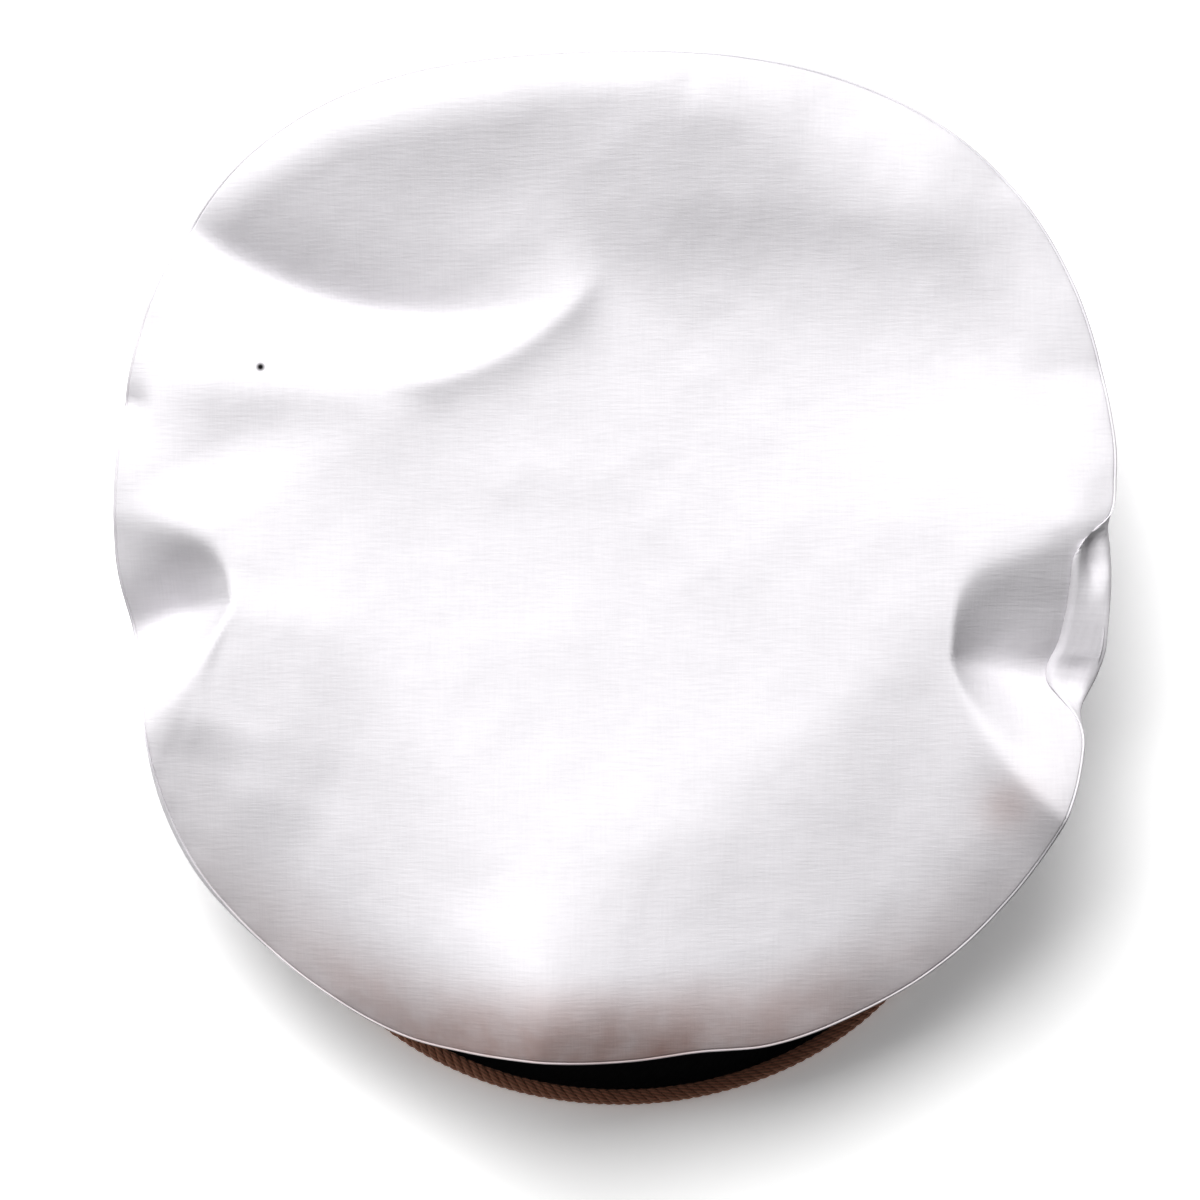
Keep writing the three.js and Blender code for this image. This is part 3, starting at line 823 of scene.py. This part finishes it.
# The side panel hangs from the rim to the band on one cubic curve in each section. It comes to the band
# from this far out and up, less far up and further out where it bulges.
NECK_OUT = 5 * MM
NECK_UP = 8.6 * MM
NECK_SAG = 0.2
NECK_SPREAD = 0.2
NECK_GAP = 0.1 * MM

# Where the panel starts, out and up from the edge of the top: it hangs just below the edge, and where it
# bulges out by FULL_BULGE or more it lies over the edge as a thin lip.
SeamStart = namedtuple("SeamStart", "out up")
HANGING, BULGING = metres(SeamStart, [(0.05, -0.2), (-0.7, 0.6)])
FULL_BULGE = 30 * MM

# At the seam the panel is a bead as thin as this, which stands out by as much. Shares of the way down
# the panel say where the bead ends, and where the full wall and the gathers start and end.
SEAM_BEAD = 0.6 * MM
BEAD_END = 0.025
SEAM_END = 0.1
NECK_END = 0.06

# Gathers that deepen towards the band, and waves that are highest half way down the panel.
Gather = namedtuple("Gather", "height count seed")
NECK_GATHERS, PANEL_WAVES = metres(Gather, [(0.9, 88, 5), (0.54, 47, 6)], unscaled=("count", "seed"))

# Dimples in the bulge of the side panel beside the right pocket. They lie on the upper part of the panel
# and run out a little past their reach.
Dimple = namedtuple("Dimple", "x y reach_x reach_back reach_front depth")
SIDE_DIMPLES = metres(Dimple, [
    (124.6, 4.5, 3.6, 5, 13, 3.5),
    (121, -27, 4, 3, 8, 1.5),
])
DIMPLE_EDGE = 1.2
DIMPLE_LOWEST = 0.4


def cubic_curve(hull, share):
    """Points of a cubic curve with four hull points, and its way at each point."""
    rest = 1 - share
    points = (rest**3 * hull[0] + 3 * share * rest**2 * hull[1]
              + 3 * share**2 * rest * hull[2] + share**3 * hull[3])
    way = (rest**2 * (hull[1] - hull[0]) + 2 * share * rest * (hull[2] - hull[1])
           + share**2 * (hull[3] - hull[2]))
    return points, unit(way)


def panel_lift(angle, down):
    """How far gathers, waves and the bead at the seam lift the side panel."""
    gathers = NECK_GATHERS.height * ripple(angle, NECK_GATHERS.count, NECK_GATHERS.seed) * down**2
    waves = PANEL_WAVES.height * ripple(angle, PANEL_WAVES.count, PANEL_WAVES.seed) * np.sin(np.pi * down)
    fade = smooth_step(down / SEAM_END) * smooth_step((1 - down) / NECK_END)
    return (gathers + waves) * fade + SEAM_BEAD * np.exp(-((down / BEAD_END) ** 2))


def dimple_depth(dimple, x, y):
    reach_y = np.where(y > dimple.y, dimple.reach_back, dimple.reach_front)
    far = np.hypot((x - dimple.x) / dimple.reach_x, (y - dimple.y) / reach_y)
    return dimple.depth * smooth_step(DIMPLE_EDGE - far)


class HAT_OT_crown_side(bpy.types.Operator):
    """The side panel, sewn to the rim and gathered on to the band"""

    bl_idname = "sailor_hat.crown_side"
    bl_label = "Crown side"

    angles = 560
    steps = 40

    def execute(self, context):
        size = context.scene.hat_sizes
        angle = turn_angles(self.angles)
        rim = rim_distance(size, angle)[:, None] * np.stack([np.cos(angle), np.sin(angle)], axis=1)
        foot = band_point(size, angle, (size.band_wall - size.cloth_wall) / 2)
        reach = np.linalg.norm(rim - foot, axis=1)
        outward = (rim - foot) / reach[:, None]
        neck = band_top(size, angle) + NECK_GAP
        bulge, rise = (around_rim(RIM_SEAM, column, angle) for column in ("bulge", "rise"))
        over = smooth_step(bulge / FULL_BULGE)
        start_out, start_up = (low + (high - low) * over for low, high in zip(HANGING, BULGING))
        seam = top_surface(size, rim[:, 0], rim[:, 1]) + start_up
        # Over the neck the curve's hull stays two walls below the top.
        neck_out = NECK_OUT + NECK_SPREAD * bulge
        above = foot + neck_out[:, None] * outward
        roof = top_surface(size, above[:, 0], above[:, 1]) - 2 * size.cloth_wall
        hull = np.array([
            [reach + start_out, seam],
            [reach + bulge, seam + rise],
            [neck_out, np.minimum(neck + NECK_UP - NECK_SAG * bulge, roof)],
            [np.zeros_like(reach), neck],
        ])
        share = np.linspace(0, 1, self.steps + 1)[:, None, None]
        curve, way = cubic_curve(hull, share)
        normal = np.stack([-way[:, 1], way[:, 0]], axis=1)
        down = share[:, 0]
        x, y = (foot[None] + curve[:, 0, :, None] * outward[None]).transpose(2, 0, 1)
        dimples = sum(dimple_depth(dimple, x, y) for dimple in SIDE_DIMPLES) * (down < DIMPLE_LOWEST)
        outer = curve + normal * (panel_lift(angle, down) - dimples)[:, None]
        wall = SEAM_BEAD + (size.cloth_wall - SEAM_BEAD) * smooth_step(down / SEAM_END)
        section = np.concatenate([outer, (outer - wall[:, None] * normal)[::-1]])
        flat = foot[None] + section[:, 0, :, None] * outward[None]
        loops = np.concatenate([flat, section[:, 1, :, None]], axis=2).transpose(1, 0, 2)
        piece = lofted("crown_side_cloth", place(size, loops), True, unrolled(loops))
        paint_cotton(size, piece, 0)
        dressed(piece, bpy.data.materials["white_cotton_drill_washed"], "crown_cotton", "crown_side")
        return {"FINISHED"}


# A stitch takes this share of its length to each side of its middle, is raised by a share of its radius
# and thins towards its ends, where this much of the half turn is cut off.
STITCH_HALF = 0.36
STITCH_RAISE = 0.3
STITCH_CUT = 0.12
STITCH_RINGS = 7
STITCH_SIDES = 6


def stitches(name, path, out, size):
    """A row of stitches as one mesh: small rounded bars along a path, raised along out."""
    far = distances(path)
    count = int(far[-1] / size.stitch)
    step = far[-1] / count
    reach = step * (0.5 + STITCH_HALF * np.cos(np.linspace(np.pi, 0, STITCH_RINGS)))
    bend = np.linspace(STITCH_CUT, np.pi - STITCH_CUT, STITCH_RINGS)
    radius = size.thread / 2 * np.sqrt(np.sin(bend))
    bars = []
    for k in range(count):
        at = k * step + reach
        line, up = points_at(at, far, path), points_at(at, far, out)
        way = unit(np.gradient(line, axis=0))
        line += STITCH_RAISE * radius[:, None] * up
        bars.append(rings_round(line, way, np.cross(way, up), radius, STITCH_SIDES))
    return tubes(name, bars, reach, np.pi * size.thread)


class HAT_OT_head_band(bpy.types.Operator):
    """The upright band with rounded edges and a row of stitches along each edge"""

    bl_idname = "sailor_hat.head_band"
    bl_label = "Head band"

    angles = 420
    wall_steps = 24
    edge_steps = 4
    stitch_inset = 3 * MM

    def execute(self, context):
        size, colours = context.scene.hat_sizes, context.scene.hat_colours
        angle = turn_angles(self.angles)
        low, high = band_bottom(size, angle), band_top(size, angle)
        edge = size.band_wall / 2
        wall = np.linspace(low + edge, high - edge, self.wall_steps + 1)
        bends = np.linspace(0, np.pi, 2 * self.edge_steps + 1)[1:-1]
        section = [(0, height) for height in wall]
        section += [(edge * (1 - math.cos(bend)), wall[-1] + edge * math.sin(bend)) for bend in bends]
        section += [(size.band_wall, height) for height in wall[::-1]]
        section += [(edge * (1 + math.cos(bend)), wall[0] - edge * math.sin(bend)) for bend in bends]
        loops = np.stack([
            np.column_stack([band_point(size, angle, inset), height]) for inset, height in section
        ], axis=1)
        piece = lofted("head_band_cloth", place(size, loops), True, unrolled(loops))
        cloth = black_cloth("black_band_cloth_woven", colours.band, rib=0.9 * MM, roughness=0.85, sheen=0.25)
        dressed(piece, cloth, "band_cloth", "head_band")
        self.sew(size, colours, np.append(angle, angle[0]))
        return {"FINISHED"}

    def sew(self, size, colours, angle):
        """The stitches along the two edges, on the outside of the band."""
        thread = black_cloth(
            "black_cotton_thread_spun", colours.thread, rib=0.4 * MM, roughness=0.7, sheen=0.2
        )
        out = unit(np.column_stack([
            np.cos(angle) / size.band_half_width, np.sin(angle) / size.band_half_length, np.zeros_like(angle)
        ]))
        for name, height in (
            ("head_band_stitches_low", band_bottom(size, angle) + self.stitch_inset),
            ("head_band_stitches_high", band_top(size, angle) - self.stitch_inset),
        ):
            path = np.column_stack([band_point(size, angle, 0), height])
            dressed(stitches(name, place(size, path), out, size), thread, "band_cloth")


def peak_point(size, angle, inset):
    """A point of the oval round the peak, drawn in from the outside of the cord. 0 is its front."""
    x = size.band_offset + (size.peak_half_width - inset) * np.sin(angle)
    y = size.peak_half_length - size.peak_reach - (size.peak_half_length - inset) * np.cos(angle)
    return np.stack([x, y], axis=-1)


class HAT_OT_peak(bpy.types.Operator):
    """The peak: a stiff curved sheet covered in black cloth, rolled round at its edge"""

    bl_idname = "sailor_hat.peak"
    bl_label = "Peak"

    shares = 200
    rows = 40
    edge_steps = 4
    into_cord = 0.4 * MM
    below_band = 0.3 * MM

    def execute(self, context):
        size, colours = context.scene.hat_sizes, context.scene.hat_colours
        share = np.linspace(-1, 1, self.shares + 1)
        band_angle = -np.pi / 2 + share * size.band_turn
        inner = band_point(size, band_angle, size.band_wall)
        outer = peak_point(size, share * size.peak_turn, size.cord_diameter - self.into_cord)
        width = np.linalg.norm(outer - inner, axis=1)
        edge = size.peak_wall / 2
        high = band_bottom(size, band_angle) - self.below_band
        low = size.cord_diameter / 2 + edge
        camber = size.peak_camber * (1 - share**2)
        section = [(across, 0.0) for across in np.linspace(0, 1, self.rows + 1)]
        section += [(1.0, bend) for bend in np.linspace(0, np.pi, 2 * self.edge_steps + 1)[1:-1]]
        section += [(across, np.pi) for across in np.linspace(1, 0, self.rows + 1)]
        loops = []
        for across, bend in section:
            body = across * (1 - edge / width)
            flat = inner + (outer - inner) * (body + edge * math.sin(bend) / width)[:, None]
            arch = camber * np.sin(np.pi * body) * body
            height = high + (low - high) * body + arch - edge * (1 - math.cos(bend))
            loops.append(np.column_stack([flat, height]))
        loops = np.array(loops).transpose(1, 0, 2)
        piece = lofted("peak_cloth", place(size, loops), False, unrolled(loops))
        cloth = black_cloth("black_peak_cloth_twill", colours.peak, rib=0.8 * MM, roughness=0.8, sheen=0.1)
        dressed(piece, cloth, "peak_cloth", "peak")
        return {"FINISHED"}


class HAT_OT_peak_cord(bpy.types.Operator):
    """The cord along the edge of the peak, twisted from separate strands"""

    bl_idname = "sailor_hat.peak_cord"
    bl_label = "Peak cord"

    line_points = 4001
    sides = 12
    steps_per_lay = 22
    # The strands swell into each other. Their ends are rounded over the taper: the thickness goes with the
    # root of the share of it, which starts at thinnest.
    swelling = 1.1
    taper = 1.2 * MM
    thinnest = 0.02
    # The painted shade between the strands is half full at a strand's flank, and full further in.
    groove_middle = 0.5
    groove_slope = 0.9

    def execute(self, context):
        size, colours = context.scene.hat_sizes, context.scene.hat_colours
        radius = size.cord_diameter / 2
        line = peak_point(size, np.linspace(-size.cord_turn, size.cord_turn, self.line_points), radius)
        far = distances(line)
        steps = int(far[-1] / size.cord_lay * self.steps_per_lay)
        at = np.linspace(0, far[-1], steps + 1)
        centre = points_at(at, far, line)
        way = unit(np.gradient(centre, axis=0))
        middle = place(size, np.column_stack([centre, np.full_like(at, radius)]))
        side = np.column_stack([-way[:, 1], way[:, 0], np.zeros_like(at)])
        up = np.array([0.0, 0.0, 1.0])
        # Round strands that touch each other and the cord's outside.
        wound = math.sin(math.pi / size.cord_strands)
        strand = radius * wound / (1 + wound)
        to_end = np.minimum(at, far[-1] - at)
        thick = self.swelling * strand * np.sqrt(np.clip(to_end / self.taper, self.thinnest, 1))
        bars = []
        for k in range(size.cord_strands):
            phase = 2 * np.pi * (at / size.cord_lay + k / size.cord_strands)
            spoke = side * np.cos(phase)[:, None] + up * np.sin(phase)[:, None]
            helix = middle + (radius - strand) * spoke
            bars.append(rings_round(helix, unit(np.gradient(helix, axis=0)), spoke, thick, self.sides))
        piece = tubes("peak_cord_strands", bars, at, 2 * np.pi * strand)
        # Painted shade on the side of each strand that faces into the cord.
        groove = smooth_step(self.groove_middle - self.groove_slope * np.cos(turn_angles(self.sides)))
        paint(piece, "groove", np.tile(groove, len(at) * size.cord_strands))
        dressed(piece, brown_yarn(colours), "cord", "peak_cord")
        return {"FINISHED"}


# The camera looks straight down. Its place and lens follow from how large the hat shows in the picture.
IMAGE_PIXELS = 1200
CAMERA_HEIGHT = 1.183
RIM_HEIGHT = 0.060
PIXEL_AT_RIM = 0.262 * MM
CAMERA_OFF_AXIS = Vector((-3.7 * MM, -9.0 * MM))
SENSOR_MM = 36.0

# Square soft lights that point at the hat: a large one high behind it and a weak one at the left.
Lamp = namedtuple("Lamp", "name location side power")
LAMPS = (
    Lamp("key_light", (-0.24, 0.825, 1.349), 1.05, 35.0),
    Lamp("side_light", (-1.05, 0.31, 1.05), 0.7, 3.5),
)
ROOM_LIGHT = 0.13

# The floor lies just under the hat. A gamma below 1 deepens the shadows, as in the picture.
FLOOR_HEIGHT = -0.1 * MM
VIEW_GAMMA = 0.75


class HAT_OT_stage(bpy.types.Operator):
    """A pale floor, soft light from behind and a camera above the hat"""

    bl_idname = "sailor_hat.stage"
    bl_label = "Stage"

    def execute(self, context):
        scene = context.scene
        corners = [(FLOOR_REACH * x, FLOOR_REACH * y, 0) for x, y in ((-1, -1), (1, -1), (1, 1), (-1, 1))]
        floor = mesh_object("studio_floor", corners, [(0, 1, 2, 3)])
        floor.location.z = FLOOR_HEIGHT
        floor.data.materials.append(floor_paper(scene.hat_colours))
        self.camera(scene)
        for lamp in LAMPS:
            self.lamp(scene, lamp)
        world = bpy.data.worlds.new("studio")
        world.use_nodes = True
        background = world.node_tree.nodes["Background"]
        background.inputs["Color"].default_value = WHITE
        background.inputs["Strength"].default_value = ROOM_LIGHT
        scene.world = world
        scene.view_settings.view_transform = "Standard"
        scene.view_settings.gamma = VIEW_GAMMA
        return {"FINISHED"}

    def camera(self, scene):
        axis = crown_axis(scene.hat_sizes)
        camera = bpy.data.objects.new("camera", bpy.data.cameras.new("camera"))
        camera.location = (axis[0] + CAMERA_OFF_AXIS.x, axis[1] + CAMERA_OFF_AXIS.y, CAMERA_HEIGHT)
        camera.data.sensor_width = SENSOR_MM
        camera.data.lens = SENSOR_MM * (CAMERA_HEIGHT - RIM_HEIGHT) / (IMAGE_PIXELS * PIXEL_AT_RIM)
        scene.collection.objects.link(camera)
        scene.camera = camera

    def lamp(self, scene, lamp):
        light = bpy.data.lights.new(lamp.name, "AREA")
        light.size = lamp.side
        light.energy = lamp.power
        holder = bpy.data.objects.new(lamp.name, light)
        holder.location = lamp.location
        holder.rotation_euler = (-Vector(lamp.location)).to_track_quat("-Z", "Y").to_euler()
        scene.collection.objects.link(holder)


PIECES = (
    HAT_OT_stage,
    HAT_OT_crown_top,
    HAT_OT_crown_side,
    HAT_OT_head_band,
    HAT_OT_peak,
    HAT_OT_peak_cord,
)


class HAT_PT_panel(bpy.types.Panel):
    """Lists the pieces, the sizes and the colours of the hat"""

    bl_idname = "HAT_PT_panel"
    bl_label = "Sailor hat"
    bl_space_type = "VIEW_3D"
    bl_region_type = "UI"
    bl_category = "Hat"

    def draw(self, context):
        for piece in PIECES:
            self.layout.operator(piece.bl_idname)
        for group in (context.scene.hat_sizes, context.scene.hat_colours):
            column = self.layout.column(align=True)
            for name in group.__annotations__:
                column.prop(group, name)


CLASSES = (HatSizes, HatColours, *PIECES, HAT_PT_panel)


def register():
    for kind in CLASSES:
        bpy.utils.register_class(kind)
    bpy.types.Scene.hat_sizes = PointerProperty(type=HatSizes)
    bpy.types.Scene.hat_colours = PointerProperty(type=HatColours)


def unregister():
    del bpy.types.Scene.hat_colours
    del bpy.types.Scene.hat_sizes
    for kind in reversed(CLASSES):
        bpy.utils.unregister_class(kind)


def main():
    """Registers the add-on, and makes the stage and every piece."""
    register()
    bpy.ops.sailor_hat.stage()
    bpy.ops.sailor_hat.crown_top()
    bpy.ops.sailor_hat.crown_side()
    bpy.ops.sailor_hat.head_band()
    bpy.ops.sailor_hat.peak()
    bpy.ops.sailor_hat.peak_cord()


if __name__ == "__main__":
    main()
